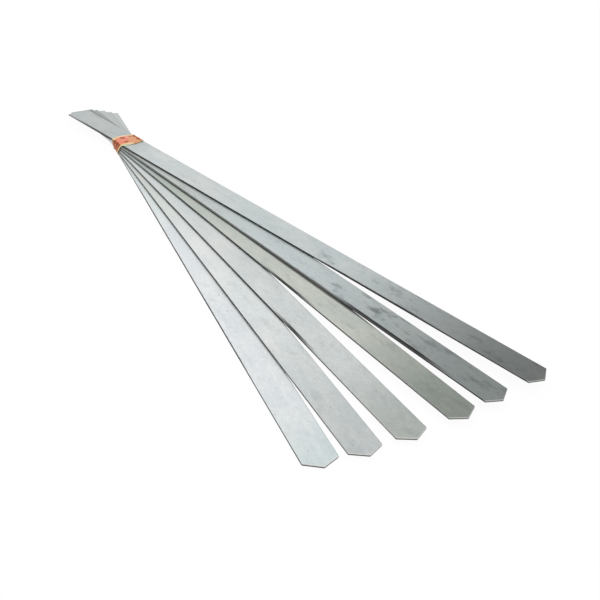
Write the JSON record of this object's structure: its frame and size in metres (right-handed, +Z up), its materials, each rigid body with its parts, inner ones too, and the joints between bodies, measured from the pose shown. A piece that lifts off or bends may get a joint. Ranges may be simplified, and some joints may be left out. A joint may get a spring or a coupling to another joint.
{
  "type": "kebab skewer set",
  "caption": "Flat steel kebab skewers with pointed ends, fanned out and tied near their square ends by a turn of wrapping film.",
  "frame": {"origin": "on the film's underside, below the middle of the turn, where the bundle lies on a table", "axes": "+X along the top skewer towards its point, +Z up through the stack, so the lower skewers fan out towards -Y"},
  "size_m": [0.5775, 0.2395, 0.0102],
  "materials": {
    "blade_steel": "satin rolled strip, lightly mottled",
    "tie_film": "thin crumpled wrapping film, orange with pale margins"
  },
  "bodies": {
    "top_skewer": {"skewer_1": "blade_steel", "tie_band": "tie_film"},
    "second_skewer": {"skewer_2": "blade_steel"},
    "third_skewer": {"skewer_3": "blade_steel"},
    "fourth_skewer": {"skewer_4": "blade_steel"},
    "fifth_skewer": {"skewer_5": "blade_steel"},
    "bottom_skewer": {"skewer_6": "blade_steel"}
  },
  "joints": [
    {"name": "second_skewer_fan", "type": "hinge", "parent": "top_skewer", "child": "second_skewer", "pos_m": [-0.00847, 0, 0.0073], "axis": [0, 0, 1], "range_deg": [0, 5.11]},
    {"name": "third_skewer_fan", "type": "hinge", "parent": "top_skewer", "child": "third_skewer", "pos_m": [-0.00804, 0, 0.00575], "axis": [0, 0, 1], "range_deg": [0, 9.16]},
    {"name": "fourth_skewer_fan", "type": "hinge", "parent": "top_skewer", "child": "fourth_skewer", "pos_m": [-0.00648, 0, 0.0042], "axis": [0, 0, 1], "range_deg": [0, 14.43]},
    {"name": "fifth_skewer_fan", "type": "hinge", "parent": "top_skewer", "child": "fifth_skewer", "pos_m": [-0.00449, 0, 0.00265], "axis": [0, 0, 1], "range_deg": [0, 18.75]},
    {"name": "bottom_skewer_fan", "type": "hinge", "parent": "top_skewer", "child": "bottom_skewer", "pos_m": [-0.00121, 0, 0.0011], "axis": [0, 0, 1], "range_deg": [0, 22.59]}
  ]
}
